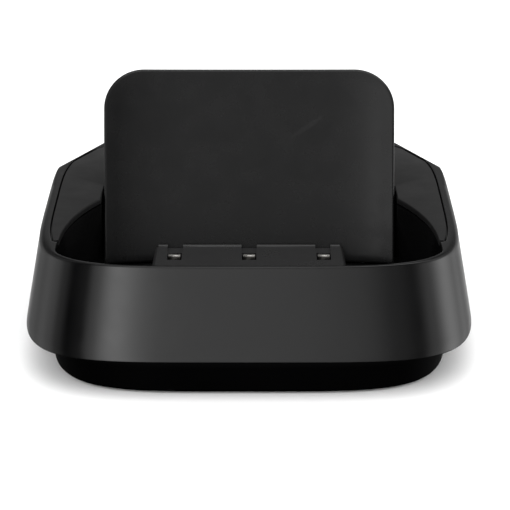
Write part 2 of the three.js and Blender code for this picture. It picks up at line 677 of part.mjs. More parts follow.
const onBoard = BOARD_TOP + GAP;
const { x: capX, y: capY, radius: capRadius, height: capHeight } = CAPACITOR;
addPiece('smoothing_capacitor', rod(capX, capY, capRadius, onBoard, onBoard + capHeight), 'component');
for (const [name, { x, y, width, depth, height }] of Object.entries(SOLDERED_BLOCKS)) {
  const low = [x - width / 2, y - depth / 2, onBoard];
  addPiece(name, block(low, [x + width / 2, y + depth / 2, onBoard + height]), 'component');
}

// ---- Foot, ballast and rubber pads ----

function footTray() {
  const top = BODY_LOW - GAP;
  const level = (z, inward) => ({ z, inset: FOOT_SIDE_INSET + inward, endInset: FOOT_END_INSET + inward });
  const outer = bodyStack([
    level(FOOT_LOW, FOOT_ROUND),
    level(FOOT_LOW + 0.3 * FOOT_ROUND, 0.3 * FOOT_ROUND),
    level(FOOT_LOW + FOOT_ROUND, 0),
    level(top, -FOOT_FLARE),
  ], FOOT_POWER);
  const inner = bodyStack([
    level(FOOT_INNER_FLOOR, FOOT_WALL),
    level(top + OVERCUT, FOOT_WALL - FOOT_FLARE),
  ], FOOT_POWER);
  let tray = outer.subtract(inner);
  for (const [, sideX, sideY] of cornerSigns) {
    const x = sideX * FOOT_SCREW_X;
    const y = sideY * FOOT_SCREW_Y;
    tray = tray.add(rod(x, y, FOOT_BOSS_RADIUS, FOOT_INNER_FLOOR - JOIN, FOOT_BOSS_TOP));
    tray = tray.subtract(rod(x, y, SHANK_RADIUS + GAP, 0, FOOT_BOSS_TOP + OVERCUT));
    tray = tray.subtract(rod(x, y, HEAD_RADIUS + GAP, 0, FOOT_HEAD_LOW + HEAD_THICK + GAP));
    const padX = sideX * FOOT_PAD_X;
    const padY = sideY * FOOT_PAD_Y;
    tray = tray.subtract(rod(padX, padY, FOOT_PAD_RADIUS + GAP, 0, FOOT_PAD_TOP + GAP));
  }
  return tray;
}

addPiece('foot_tray', footTray(), 'footBlack');

const ballastLow = FOOT_INNER_FLOOR + GAP;
addPiece('ballast_plate', block(
  [-BALLAST_HALF_WIDTH, BALLAST_FRONT_Y, ballastLow],
  [BALLAST_HALF_WIDTH, BALLAST_BACK_Y, ballastLow + BALLAST_THICK],
), 'steel');

for (const [corner, sideX, sideY] of cornerSigns) {
  const padX = sideX * FOOT_PAD_X;
  const padY = sideY * FOOT_PAD_Y;
  addPiece(`rubber_pad_${corner}`, rod(padX, padY, FOOT_PAD_RADIUS, 0, FOOT_PAD_TOP), 'rubber');
  const screwX = sideX * FOOT_SCREW_X;
  const screwY = sideY * FOOT_SCREW_Y;
  addPiece(`foot_screw_${corner}`, screw(screwX, screwY, FOOT_HEAD_LOW, FOOT_SCREW_LENGTH), 'steel');
}

// ---- Screws for the board and the rest ----

for (const [side, sign] of [['left', -1], ['right', 1]]) {
  const boardHead = BOARD_LOW - GAP - HEAD_THICK;
  const boardX = sign * BOARD_SCREW_X;
  addPiece(`board_screw_${side}`, screw(boardX, BOARD_SCREW_Y, boardHead, BOARD_SCREW_LENGTH), 'steel');
  const restHead = FLOOR_LOW - GAP - HEAD_THICK;
  const restX = sign * REST_SCREW_X;
  addPiece(`rest_screw_${side}`, screw(restX, REST_SCREW_Y, restHead, REST_SCREW_LENGTH), 'steel');
}

export default base;
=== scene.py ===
"""Looks for the charging base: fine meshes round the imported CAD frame, materials, studio and camera.

Mesh code works in millimetres and is scaled to metres as each mesh is made. +Y is to the back.
"""
import math

import bmesh
import bpy
import numpy as np
from mathutils import Matrix, Vector


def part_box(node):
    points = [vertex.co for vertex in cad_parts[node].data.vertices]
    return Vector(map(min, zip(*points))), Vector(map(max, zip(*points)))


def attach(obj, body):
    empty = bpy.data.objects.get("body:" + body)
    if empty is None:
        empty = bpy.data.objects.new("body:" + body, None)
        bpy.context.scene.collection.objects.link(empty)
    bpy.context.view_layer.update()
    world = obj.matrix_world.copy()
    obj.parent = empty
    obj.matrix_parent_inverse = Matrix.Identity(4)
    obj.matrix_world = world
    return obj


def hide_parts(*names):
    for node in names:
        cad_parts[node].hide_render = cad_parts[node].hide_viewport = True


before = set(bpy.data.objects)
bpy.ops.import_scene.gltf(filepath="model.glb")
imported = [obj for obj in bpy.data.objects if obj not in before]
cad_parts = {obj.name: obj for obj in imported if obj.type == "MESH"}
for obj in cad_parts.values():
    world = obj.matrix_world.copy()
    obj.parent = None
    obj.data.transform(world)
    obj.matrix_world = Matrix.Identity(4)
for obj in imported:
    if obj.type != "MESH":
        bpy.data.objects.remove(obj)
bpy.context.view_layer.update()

MM = 0.001
SIDES = ("left", "middle", "right")
ENDS = ("left", "right")
CORNERS = ("front_left", "front_right", "rear_left", "rear_right")


def box_mm(node):
    """A CAD node's lowest and highest corners, in millimetres."""
    low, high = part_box(node)
    return Vector(low) / MM, Vector(high) / MM


def middle_of(node):
    low, high = box_mm(node)
    return (low + high) / 2


def places_of(kind, names):
    """Where the CAD nodes of one kind stand, in plan."""
    return [tuple(middle_of(kind + name).xy) for name in names]


# ---- Driving sizes, in millimetres, the same as the CAD model's ----

SHELL_HIGH = box_mm("base_shell")[1]
INLAY_LOW = box_mm("deck_inlay")[0]
BLOCK_LOW, BLOCK_HIGH = box_mm("contact_block")
REST_HIGH = box_mm("rest_front_shell")[1]
TRAY_LOW, TRAY_HIGH = box_mm("foot_tray")
SOCKET_LOW, SOCKET_HIGH = box_mm("power_socket")

GAP = 0.3
OVERCUT = 1.0                       # how far a cutting solid runs past the face it cuts
JOIN = 0.4                          # how far a boss runs into the wall that carries it

HALF_WIDTH = 40.0
HALF_DEPTH = 38.0
FRONT_POWER = 5.0
BACK_POWER = 3.8
WALL_LOW = 6.7
REAR_REACH = 43.1                   # of the flat rear corners, from the middle
REAR_BEARING = 0.482                # of the same, in radians from the side
INLAY_REAR_REACH = 44.5
DECK = SHELL_HIGH.z
TAPER = 0.18
WALL = 1.8
DECK_SKIN = 2.6
LEDGE_INSET = 4.2
LEDGE_THICK = 1.2

WELL_FLOOR = 10.8
FLOOR_SKIN = 1.6
FLOOR_LOW = WELL_FLOOR - FLOOR_SKIN
WELL_HALF_WIDTH = 33.3
WELL_SHOULDER_Y = -23.0
WELL_RIM = 0.7
WELL_CORNER = 0.8
WELL_SIDE_RADIUS = 42.6
WELL_BACK_CLEARANCE = 1.0

INLAY_MARGIN = 1.9
INLAY_LIP = 0.2
INLAY_SEAM = 0.25
INLAY_FRONT_Y = -23.3
INLAY_CORNER = 3.0

REST_LEAN = math.radians(20.5)
REST_HALF_WIDTH = REST_HIGH.x
REST_SEAM = 0.4
REST_DECK_Y = 0.4
REST_TOP = 45.0
REST_CORNER = 7.4
REST_HOLLOW = 1.5
REST_FLATNESS = 0.75                # share of the dish's rise that comes near its sides
REST_SKIN = 2.2
REST_BACK_MIDDLE = 6.2
REST_BACK_EDGE = 4.1

BLOCK_HALF_FRONT = 17.7
BLOCK_HALF_BACK = 17.2
BLOCK_FRONT_Y = -23.4
BLOCK_BACK_Y = -4.9
BLOCK_SKIN = 1.2
BLOCK_WALL = 1.4

BORE_RADIUS = 1.5                   # of every screw hole
BORE_LOW = 4.0

# Every ring of the body and the inlay is measured from this point, which all its outlines surround.
CENTRE = np.array((0.0, -14.0))
RING_POINTS = 480
OUTLINE_POINTS = 1440
CURVE_STEPS = 10
WELL_FRONT_POINTS = 90
WELL_SIDE_POINTS = 60

UPRIGHT_TO_BACK = Matrix.Rotation(math.radians(-90), 4, "X")


# ---- Meshes from rings ----

def make_object(name, vertices, faces, sharp=35):
    """A mesh object from millimetre vertices, outward faces and smooth shading with sharp creases."""
    mesh = bpy.data.meshes.new(name)
    mesh.from_pydata([tuple(c * MM for c in v) for v in vertices], [], faces)
    work = bmesh.new()
    work.from_mesh(mesh)
    bmesh.ops.remove_doubles(work, verts=work.verts, dist=1e-7)
    bmesh.ops.recalc_face_normals(work, faces=work.faces)
    work.to_mesh(mesh)
    work.free()
    obj = bpy.data.objects.new(name, mesh)
    bpy.context.scene.collection.objects.link(obj)
    shade(obj, sharp)
    return obj


def shade(obj, sharp=35):
    obj.data.polygons.foreach_set("use_smooth", [True] * len(obj.data.polygons))
    obj.data.set_sharp_from_angle(angle=math.radians(sharp))


def loft(name, rings, closed=False, sharp=35):
    """Rings of equal length stitched into quads. Closed joins the last ring to the first."""
    count = len(rings[0])
    vertices = [tuple(p) for ring in rings for p in ring]
    faces = []
    pairs = len(rings) if closed else len(rings) - 1
    for k in range(pairs):
        here, there = k * count, ((k + 1) % len(rings)) * count
        for i in range(count):
            j = (i + 1) % count
            faces.append((here + i, here + j, there + j, there + i))
    if not closed:
        faces.append(tuple(reversed(range(count))))
        last = (len(rings) - 1) * count
        faces.append(tuple(range(last, last + count)))
    return make_object(name, vertices, faces, sharp)


def arc(steps, start=0.0, end=90.0):
    """(cosine, sine) at even steps between two angles in degrees."""
    return [(math.cos(math.radians(start + (end - start) * i / steps)),
             math.sin(math.radians(start + (end - start) * i / steps))) for i in range(steps + 1)]


# ---- Outlines, as radii at the ring angles ----

ANGLES = np.linspace(-math.pi, math.pi, RING_POINTS, endpoint=False)


def radii(points):
    """Distance from CENTRE to a closed outline at every ring angle."""
    outline = np.asarray(points) - CENTRE
    bearing = np.arctan2(outline[:, 1], outline[:, 0])
    order = np.argsort(bearing)
    outline, bearing = outline[order], bearing[order]
    a = np.vstack([outline[-1:], outline])
    b = np.vstack([outline, outline[:1]])
    starts = np.searchsorted(bearing, ANGLES, side="right")
    a, b = a[starts], b[starts]
    ray = np.stack([np.cos(ANGLES), np.sin(ANGLES)], 1)
    edge = b - a
    cross = ray[:, 0] * edge[:, 1] - ray[:, 1] * edge[:, 0]
    return (a[:, 0] * edge[:, 1] - a[:, 1] * edge[:, 0]) / cross


def ring(radius, z):
    """A ring of points from radii and a height, each a number or one value per angle."""
    radius = np.broadcast_to(radius, ANGLES.shape)
    height = np.broadcast_to(z, ANGLES.shape)
    x = CENTRE[0] + radius * np.cos(ANGLES)
    y = CENTRE[1] + radius * np.sin(ANGLES)
    return np.stack([x, y, height], 1)


def body_points(inset, end_inset=None, front_power=FRONT_POWER, rear_reach=REAR_REACH):
    """The body's super-ellipse, squarer at the front than at the back, with flat rear corners."""
    end_inset = inset if end_inset is None else end_inset
    t = np.arange(OUTLINE_POINTS) / OUTLINE_POINTS * math.tau
    power = np.where(np.sin(t) < 0, front_power, BACK_POWER)
    x = np.sign(np.cos(t)) * np.abs(np.cos(t)) ** (2 / power) * HALF_WIDTH
    y = np.sign(np.sin(t)) * np.abs(np.sin(t)) ** (2 / power) * HALF_DEPTH
    reach = np.abs(x) * math.cos(REAR_BEARING) + y * math.sin(REAR_BEARING)
    scale = np.minimum(1, rear_reach / np.maximum(reach, 1))
    return np.stack([x * scale * (1 - inset / HALF_WIDTH), y * scale * (1 - end_inset / HALF_DEPTH)], 1)


def body(inset):
    """Radii of the body's outline, for one inset or for one at each ring angle."""
    if np.ndim(inset) == 0:
        return radii(body_points(inset))
    low, high = float(np.min(inset)), float(np.max(inset))
    share = (inset - low) / max(high - low, 1e-6)
    return body(low) * (1 - share) + body(high) * share


def wall_inset(z):
    """How far the leaning wall stands in at a height."""
    return TAPER * (z - WALL_LOW)


def quadratic(start, control, end):
    """Points along a quadratic curve, without its start."""
    t = np.linspace(0, 1, CURVE_STEPS + 1)[1:, None]
    start, control, end = map(np.array, (start, control, end))
    return list((1 - t) ** 2 * start + 2 * t * (1 - t) * control + t ** 2 * end)


def rest_front(x):
    """How far the rest's dished face lies behind its front edges: flat in the middle, raised at the sides."""
    u = np.abs(x) / REST_HALF_WIDTH
    return REST_HOLLOW * (1 - (1 - REST_FLATNESS) * u ** 2 - REST_FLATNESS * u ** 6)


def rest_back(x):
    """The same for the rest's bowed back."""
    u = np.abs(x) / REST_HALF_WIDTH
    return REST_BACK_EDGE + (REST_BACK_MIDDLE - REST_BACK_EDGE) * (1 - u ** 2)


def well_points(lip=0.0):
    """The pocket's outline: squared front corners, sides that curve in, and a bowed back."""
    half = WELL_HALF_WIDTH - lip
    inset = wall_inset(DECK) + WELL_RIM + lip

    def front(x):
        across = x / (HALF_WIDTH - inset)
        return -(HALF_DEPTH - inset) * (1 - across ** FRONT_POWER) ** (1 / FRONT_POWER)

    x = np.linspace(0, half - WELL_CORNER, WELL_FRONT_POINTS, endpoint=False)
    turn = quadratic((half - WELL_CORNER, front(half - WELL_CORNER)), (half, front(half)),
                     (half, front(half) + WELL_CORNER))
    corner = np.vstack([np.stack([x, front(x)], 1), turn])
    radius = WELL_SIDE_RADIUS - lip
    middle = half - radius
    side_end = REST_HALF_WIDTH + REST_SEAM
    t = np.linspace(0, math.acos((side_end - middle) / radius), WELL_SIDE_POINTS)
    side = np.stack([middle + radius * np.cos(t), WELL_SHOULDER_Y + radius * np.sin(t)], 1)
    x = np.linspace(side_end, 0, WELL_SIDE_POINTS)
    back = REST_DECK_Y + rest_back(x) / math.cos(REST_LEAN) + WELL_BACK_CLEARANCE - lip
    right = np.vstack([corner, side, np.stack([x, back], 1)])
    left = right[1:-1][::-1] * (-1, 1)
    return np.vstack([right, left])


def inlay_points(grow=0.0):
    """The inlay's outer outline: the body's, cut off at the front with round corners."""
    inset = wall_inset(DECK) + INLAY_MARGIN - grow
    half = HALF_WIDTH - inset
    front = INLAY_FRONT_Y - grow
    corner = INLAY_CORNER + grow
    points = []
    for x, y in body_points(inset, rear_reach=INLAY_REAR_REACH + grow):
        beyond = front + corner - y
        if beyond > 0:
            reach = math.sqrt(max(corner ** 2 - beyond ** 2, 0))
            limit = half - corner + reach
            y = max(y, front)
            x = max(-limit, min(limit, x))
        points.append((x, y))
    return np.array(points)


def block_points(grow):
    """The contact block's plan, wider at the front than at the back."""
    front, back = BLOCK_HALF_FRONT + grow, BLOCK_HALF_BACK + grow
    corners = [(-front, BLOCK_FRONT_Y - grow), (front, BLOCK_FRONT_Y - grow),
               (back, BLOCK_BACK_Y + grow), (-back, BLOCK_BACK_Y + grow)]
    return np.array(corners)


WELL = radii(well_points())
SEAM = np.maximum(radii(inlay_points(INLAY_SEAM)), WELL)


# ---- Solids that join and cut ----

def linked(name, work):
    """An object from a finished bmesh."""
    mesh = bpy.data.meshes.new(name)
    work.to_mesh(mesh)
    work.free()
    obj = bpy.data.objects.new(name, mesh)
    bpy.context.scene.collection.objects.link(obj)
    return obj


def rounded(obj, choose, width, segments):
    """Bevels the edges that a function chooses from an object's mesh."""
    work = bmesh.new()
    work.from_mesh(obj.data)
    bmesh.ops.bevel(work, geom=choose(work.edges), offset=width * MM, segments=segments, profile=0.5,
                    affect="EDGES")
    work.to_mesh(obj.data)
    work.free()


def soft_edges(obj, width):
    """A small bevel modifier on an object's sharp edges."""
    bevel = obj.modifiers.new("edges", "BEVEL")
    bevel.width = width * MM
    bevel.segments = 2
    bevel.limit_method = "ANGLE"
    bevel.angle_limit = math.radians(50)


def boolean(obj, tool, operation):
    """Joins or cuts with another object, applies the result and removes the tool."""
    modifier = obj.modifiers.new("cut", "BOOLEAN")
    modifier.operation = operation
    modifier.solver = "EXACT"
    modifier.object = tool
    bpy.context.view_layer.update()
    evaluated = obj.evaluated_get(bpy.context.evaluated_depsgraph_get())
    mesh = bpy.data.meshes.new_from_object(evaluated)
    obj.modifiers.clear()
    obj.data = mesh
    bpy.data.objects.remove(tool)


def lathe(name, profile, segments):
    """A turned solid from (radius, z) pairs, from axis to axis, standing on its own origin."""
    rings = []
    for radius, z in profile:
        r = max(radius, 1e-4)
        rings.append([(r * math.cos(math.tau * i / segments), r * math.sin(math.tau * i / segments), z)
                      for i in range(segments)])
    return loft(name, rings)


def moved(obj, offset, rotation=None):
    """Bakes a rotation and a millimetre offset into an object's mesh."""
    matrix = Matrix.Translation(Vector(offset) * MM)
    if rotation is not None:
        matrix = matrix @ rotation
    obj.data.transform(matrix)
    return obj


def rods(places, radius, low, high):
    """Several upright round rods in one object."""
    work = bmesh.new()
    for x, y in places:
        matrix = Matrix.Translation(Vector((x, y, (low + high) / 2)) * MM)
        bmesh.ops.create_cone(work, cap_ends=True, segments=48, radius1=radius * MM, radius2=radius * MM,
                              depth=(high - low) * MM, matrix=matrix)
    return linked("tool", work)


def block_box(name, low, high):
    """A plain block between two corners."""
    work = bmesh.new()
    size = Vector(high) - Vector(low)
    middle = (Vector(high) + Vector(low)) / 2
    matrix = Matrix.Translation(middle * MM) @ Matrix.Diagonal((*(size * MM), 1))
    bmesh.ops.create_cube(work, size=1, matrix=matrix)
    return linked(name, work)


def prism(name, plan, low, high):
    """An upright solid between two heights."""
    count = len(plan)
    vertices = [(x, y, z) for z in (low, high) for x, y in plan]
    faces = [tuple(reversed(range(count))), tuple(range(count, 2 * count))]
    faces += [(i, (i + 1) % count, count + (i + 1) % count, count + i) for i in range(count)]
    return make_object(name, vertices, faces)


# ---- Body shell ----

FOOT_SCREWS = places_of("foot_screw_", CORNERS)
BOARD_SCREWS = places_of("board_screw_", ENDS)
REST_SCREWS = places_of("rest_screw_", ENDS)

LOW_INSET = 0.05                    # of the wall's lower edge, below its rounding
LOW_ROUND = 0.2
SHOULDER_CRISP = 0.3                # rounding of the wall's upper edge in front and at the back
SHOULDER_DROP = 0.9                 # how much taller it is beside the inlay
SHOULDER_REACH = 1.2                # and how much wider
SHOULDER_SHARE = 0.7                # of the border's width, at the most
SOFT_BACK_Y, SOFT_BACK_BLEND = 14, 8
SOFT_FRONT_Y, SOFT_FRONT_BLEND = -34, 9
WALL_RINGS = 9
SEAM_ROUND = 0.22                   # rounding of the border's inner edge
SEAM_SHARE = 0.3                    # of the border's width, at the most
RECESS_FALL = 0.05                  # of the inlay's recess towards the pocket
RECESS_LEAD = 0.6                   # from the recess down to the pocket's first level ring
POCKET_RINGS = 4
FLOOR_ROUND = 0.9                   # between the pocket's walls and its floor
HOLE_EDGE = 0.12                    # chamfer of the contact block's hole

LEDGE_RISE = 0.4                    # of the wall's inner face over the ledge
CEILING_ROOM = 0.4                  # least width of the hollow between the wall and the pocket
CEILING_LEAST = 0.3                 # least height of that hollow over the floor's underside
POCKET_ROOM = 0.6                   # least width of the hollow beside the floor

FOOT_BOSS_RADIUS = 3.1
FOOT_BOSS_LOW = 4.7
BOARD_BOSS_RADIUS = 2.1
BOARD_BOSS_LOW = 8.1
BORE_HIGH = 9.7

INLET_RADIUS = 4.6
INLET_DEPTH = 4.2
INLET_FLARE = 1.4
INLET_LEAD = 1.4                    # how far in front of the socket's face the hole starts


def body_shell():
    """One closed skin: up the outside, over the deck, down into the pocket, and back underneath."""
    rings = [ring(body(LEDGE_INSET), WALL_LOW)]
    for c, s in arc(6):
        rings.append(ring(body(LOW_INSET + LOW_ROUND * (1 - s)), WALL_LOW + LOW_ROUND * (1 - c)))
    # The shoulder is soft beside the inlay, and crisp over the front rim and at the back.
    y = ring(body(wall_inset(DECK)), DECK)[:, 1]
    softness = np.clip((SOFT_BACK_Y - y) / SOFT_BACK_BLEND, 0, 1)
    softness = softness * np.clip((y - SOFT_FRONT_Y) / SOFT_FRONT_BLEND, 0, 1)
    shoulder = SHOULDER_CRISP + SHOULDER_DROP * softness
    for step in np.linspace(0, 1, WALL_RINGS)[1:]:
        z = WALL_LOW + LOW_ROUND + step * (DECK - shoulder - WALL_LOW - LOW_ROUND)
        rings.append(ring(body(wall_inset(z)), z))

    top = body(wall_inset(DECK - shoulder))
    outer_round = np.minimum(SHOULDER_CRISP + SHOULDER_REACH * softness, SHOULDER_SHARE * (top - SEAM))
    for c, s in arc(10)[1:]:
        rings.append(ring(top - outer_round * (1 - c), DECK - shoulder * (1 - s)))
    inner_round = np.minimum(SEAM_ROUND, SEAM_SHARE * (top - SEAM))
    rings.append(ring((top - outer_round + SEAM + inner_round) / 2, DECK))
    for c, s in arc(4, 90, 0):
        rings.append(ring(SEAM + inner_round * (1 - c), DECK - SEAM_ROUND * (1 - s)))

    recess = INLAY_LOW.z - GAP
    rings.append(ring(SEAM, recess))
    rings.append(ring(WELL, recess - RECESS_FALL))
    for z in np.linspace(recess - RECESS_LEAD, WELL_FLOOR + FLOOR_ROUND, POCKET_RINGS):
        rings.append(ring(WELL, z))
    for c, s in arc(5)[1:]:
        rings.append(ring(WELL - FLOOR_ROUND * (1 - c), WELL_FLOOR + FLOOR_ROUND * (1 - s)))
    hole = radii(block_points(GAP))
    rings.append(ring(hole + HOLE_EDGE, WELL_FLOOR))
    rings.append(ring(hole, WELL_FLOOR - HOLE_EDGE))
    rings.append(ring(hole, FLOOR_LOW))

    outside = WELL + FLOOR_SKIN
    inner_low = WALL_LOW + LEDGE_THICK + LEDGE_RISE
    inside_low = body(wall_inset(inner_low) + WALL)
    clear = (inside_low - outside - CEILING_ROOM) / TAPER
    tops = np.clip(inner_low + clear, FLOOR_LOW + CEILING_LEAST, DECK - DECK_SKIN)
    outside = np.minimum(outside, inside_low - POCKET_ROOM)
    rings.append(ring(outside, FLOOR_LOW))
    rings.append(ring(outside, tops))
    rings.append(ring(inside_low - TAPER * (tops - inner_low), tops))
    rings.append(ring(inside_low, inner_low))
    rings.append(ring(body(LEDGE_INSET), WALL_LOW + LEDGE_THICK))
    shell = loft("body_shell", rings, closed=True)

    add_bosses(shell)
    wide, end = INLET_RADIUS + INLET_FLARE, INLET_DEPTH + INLET_FLARE
    profile = [(0, 0), (INLET_RADIUS, 0), (INLET_RADIUS, INLET_DEPTH), (wide, end), (0, end)]
    axis = middle_of("power_socket_pin")
    start = (axis.x, SOCKET_HIGH.y - INLET_LEAD, axis.z)
    boolean(shell, moved(lathe("tool", profile, 96), start, UPRIGHT_TO_BACK), "DIFFERENCE")
    shade(shell, 32)
    return shell


def add_bosses(shell):
    """Screw bosses under the deck and the floor, with their holes."""
    front, rear = FOOT_SCREWS[:2], FOOT_SCREWS[2:]
    boolean(shell, rods(front, FOOT_BOSS_RADIUS, FOOT_BOSS_LOW, FLOOR_LOW + JOIN), "UNION")
    boolean(shell, rods(rear, FOOT_BOSS_RADIUS, FOOT_BOSS_LOW, DECK - DECK_SKIN + JOIN), "UNION")
    boolean(shell, rods(BOARD_SCREWS, BOARD_BOSS_RADIUS, BOARD_BOSS_LOW, FLOOR_LOW + JOIN), "UNION")
    boolean(shell, rods(FOOT_SCREWS + BOARD_SCREWS, BORE_RADIUS, BORE_LOW, BORE_HIGH), "DIFFERENCE")
    boolean(shell, rods(REST_SCREWS, BORE_RADIUS, BORE_LOW, WELL_FLOOR + OVERCUT), "DIFFERENCE")


# ---- Deck inlay ----

INLAY_LEAST = 0.5                   # the panel ends where it would be narrower
INLAY_EDGE, INLAY_EDGE_SHARE = 0.16, 0.3
INLAY_INNER_EDGE, INLAY_INNER_SHARE = 0.3, 0.4
INLAY_UNDERCUT = 0.1


def deck_inlay():
    """The matt panel: one cross-section for each ring angle, with rounded edges, closed at its two ends."""
    outer = radii(inlay_points())
    lip = radii(well_points(INLAY_LIP))
    start = RING_POINTS // 4
    order = [(start + i) % RING_POINTS for i in range(RING_POINTS)]
    rings = []
    for i in order:
        wide = outer[i] - lip[i]
        if wide <= INLAY_LEAST:
            continue
        edge = min(INLAY_EDGE, INLAY_EDGE_SHARE * wide)
        inner = min(INLAY_INNER_EDGE, INLAY_INNER_SHARE * wide)
        section = [(outer[i], INLAY_LOW.z)]
        section += [(outer[i] - edge * (1 - c), DECK - edge * (1 - s)) for c, s in arc(4)]
        section += [(lip[i] + inner * (1 - c), DECK - inner * (1 - s)) for c, s in arc(5, 90, 0)]
        section += [(lip[i], INLAY_LOW.z + INLAY_UNDERCUT), (lip[i] + INLAY_UNDERCUT, INLAY_LOW.z)]
        c, s = math.cos(ANGLES[i]), math.sin(ANGLES[i])
        rings.append([(CENTRE[0] + r * c, CENTRE[1] + r * s, z) for r, z in section])
    return loft("inlay_panel", rings)


# ---- Back rest ----

REST_HEIGHT = (REST_TOP - WELL_FLOOR) / math.cos(REST_LEAN)
REST_FOOT_Y = REST_DECK_Y - math.tan(REST_LEAN) * (DECK - WELL_FLOOR)
REST_FRONT_ROUND = 0.5
REST_INNER_ROUND = 0.2
REST_REAR_ROUND = 0.9
REST_PARTING = 0.12                 # between its two shells
FACE_SCALES = np.linspace(0.02, 1, 16)[:-1]

# Points round its outline: half of the foot, a side, a corner and the top.
REST_FOOT_POINTS, REST_SIDE_POINTS, REST_TURN_POINTS, REST_TOP_POINTS = 24, 40, 20, 56


def place_rest(x, depth, up):
    """A point in the rest's own frame, up the rest and behind its front edges, in the row frame."""
    c, s = math.cos(REST_LEAN), math.sin(REST_LEAN)
    return (x, REST_FOOT_Y + depth * c + up * s, WELL_FLOOR - depth * s + up * c)


def rest_outline(inset):
    """Round the rest, from the middle of its foot: foot, side, corner, top, corner, side."""
    half = REST_HALF_WIDTH - inset
    corner = REST_CORNER - inset
    top = REST_HEIGHT - inset
    half_foot, side, turn, flat = REST_FOOT_POINTS, REST_SIDE_POINTS, REST_TURN_POINTS, REST_TOP_POINTS
    points = [(half * i / half_foot, inset) for i in range(half_foot)]
    points += [(half, inset + (top - corner - inset) * i / side) for i in range(side)]
    for i in range(turn):
        t = math.pi / 2 * i / turn
        points.append((half - corner + corner * math.cos(t), top - corner + corner * math.sin(t)))
    points += [((half - corner) * (1 - 2 * i / flat), top) for i in range(flat)]
    for i in range(turn):
        t = math.pi / 2 * (1 + i / turn)
        points.append((-half + corner + corner * math.cos(t), top - corner + corner * math.sin(t)))
    points += [(-half, top - corner - (top - corner - inset) * i / side) for i in range(side)]
    points += [(-half * (1 - i / half_foot), inset) for i in range(half_foot)]
    return points


def rest_sheet(name, front, back, front_round, back_round):
    """A curved sheet between two faces with rounded edges. Its foot is cut level with the floor."""
    middle = REST_HEIGHT / 2

    def outline(inset, depth_of, shift, scale=1.0):
        points = []
        for x, up in rest_outline(inset):
            x, up = x * scale, middle + (up - middle) * scale
            depth = depth_of(x) + shift
            level = (GAP + depth * math.sin(REST_LEAN)) / math.cos(REST_LEAN)
            up = level + up * (REST_HEIGHT - level) / REST_HEIGHT
            points.append(place_rest(x, depth, up))
        return points

    rings = [outline(front_round, front, 0, scale) for scale in FACE_SCALES]
    rings += [outline(front_round * (1 - s), front, front_round * (1 - c)) for c, s in arc(6)]
    rings += [outline(back_round * (1 - s), back, -back_round * (1 - c)) for c, s in arc(6, 90, 0)]
    rings += [outline(back_round, back, 0, scale) for scale in FACE_SCALES[::-1]]
    return loft(name, rings, sharp=50)


def back_rest():
    """The rest's dished front and its rear cover."""
    front = rest_sheet("rest_front", rest_front, lambda x: rest_front(x) + REST_SKIN,
                       REST_FRONT_ROUND, REST_INNER_ROUND)
    rear = rest_sheet("rest_rear", lambda x: rest_front(x) + REST_SKIN + REST_PARTING, rest_back,
                      REST_INNER_ROUND, REST_REAR_ROUND)
    return front, rear


# ---- Contact block ----

BLOCK_ROUND = 0.75                  # of its rim and its uprights
BLOCK_BEVEL = 0.08                  # of its other edges
RIM_NEAR = 0.1                      # an edge this near the top is in the rim
UPRIGHT_RISE = 2                    # and one that rises this far is an upright
FLANGE_REACH = 1.0
FLANGE_THICK = 0.8
SLOT_FRONT_Y = -12.25
SLOT_BACK_Y = -7.5
SLOT_HALF = 1.28
SLOT_DEPTH = 2.2
GROOVE_HALF = 1.4
GROOVE_DEPTH = 0.6
GROOVE_SPARE = 3                    # how far the groove's cut reaches behind the block
BEAD_HALF = 0.45
BEAD_HEIGHT = 0.26
BEAD_SINK = 0.3
BEAD_INSET = 0.42                   # from the block's back edge
BEAD_END = 0.6                      # from the block's sides


def bead(start, end, y, z):
    """A low half-round ridge on a level face, between two places along X."""
    section = [(BEAD_HALF * c, BEAD_HEIGHT * s) for c, s in arc(8, 0, 180)]
    section += [(-BEAD_HALF, -BEAD_SINK), (BEAD_HALF, -BEAD_SINK)]
    return loft("tool", [[(x, y + sy, z + sz) for sy, sz in section] for x in (start, end)])


def contact_block():
    """A hollow plateau with a rounded rim and three slots, and a bead along its back edge."""
    top = BLOCK_HIGH.z
    block = prism("block", block_points(0), BLOCK_LOW.z, top)

    def rim_and_uprights(edges):
        rim = [e for e in edges if all(v.co.z > (top - RIM_NEAR) * MM for v in e.verts)]
        return rim + [e for e in edges if abs(e.verts[0].co.z - e.verts[1].co.z) > UPRIGHT_RISE * MM]

    rounded(block, rim_and_uprights, BLOCK_ROUND, 6)
    flange = prism("tool", block_points(FLANGE_REACH), BLOCK_LOW.z, BLOCK_LOW.z + FLANGE_THICK)
    boolean(block, flange, "UNION")
    hollow = prism("tool", block_points(-BLOCK_WALL), BLOCK_LOW.z - OVERCUT, top - BLOCK_SKIN)
    boolean(block, hollow, "DIFFERENCE")
    for side in SIDES:
        x = middle_of("contact_arm_" + side).x
        slot = block_box("tool", (x - SLOT_HALF, SLOT_FRONT_Y, top - SLOT_DEPTH),
                         (x + SLOT_HALF, SLOT_BACK_Y, top + OVERCUT))
        boolean(block, slot, "DIFFERENCE")
        groove = block_box("tool", (x - GROOVE_HALF, SLOT_BACK_Y, top - GROOVE_DEPTH),
                           (x + GROOVE_HALF, BLOCK_BACK_Y + GROOVE_SPARE, top + OVERCUT))
        boolean(block, groove, "DIFFERENCE")
    pitch = middle_of("contact_arm_right").x
    spans = ((GROOVE_HALF, pitch - GROOVE_HALF), (pitch + GROOVE_HALF, BLOCK_HALF_BACK - BEAD_END))
    for side in (-1, 1):
        for start, end in spans:
            boolean(block, bead(side * start, side * end, BLOCK_BACK_Y - BEAD_INSET, top), "UNION")
    soft_edges(block, BLOCK_BEVEL)
    shade(block)
    return block


# ---- Contacts ----

